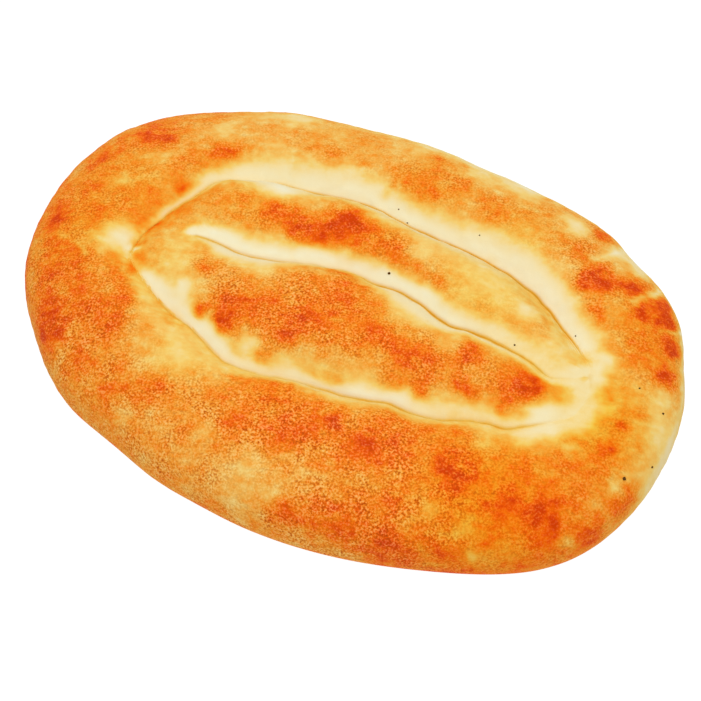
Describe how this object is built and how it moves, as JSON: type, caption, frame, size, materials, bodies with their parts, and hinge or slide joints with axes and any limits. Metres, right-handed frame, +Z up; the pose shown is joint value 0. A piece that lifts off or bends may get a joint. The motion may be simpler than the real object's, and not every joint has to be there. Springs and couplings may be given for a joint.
{
  "type": "matnakash bread",
  "caption": "Oval leavened flatbread with a puffed rim and a leaf-shaped pressed panel, parted lengthwise by a fold into ridges; rests on its flat base.",
  "frame": {"origin": "middle of the loaf's outline, on the plane of its flat base", "axes": "+X along the loaf, towards the tip where the folds fade out; +Y across it; +Z up through the crust"},
  "size_m": [0.3378, 0.2392, 0.0451],
  "materials": {
    "crust": "matte baked crust, golden to red-brown, pale in the folds"
  },
  "bodies": {
    "root": {"loaf": "crust"}
  },
  "joints": []
}
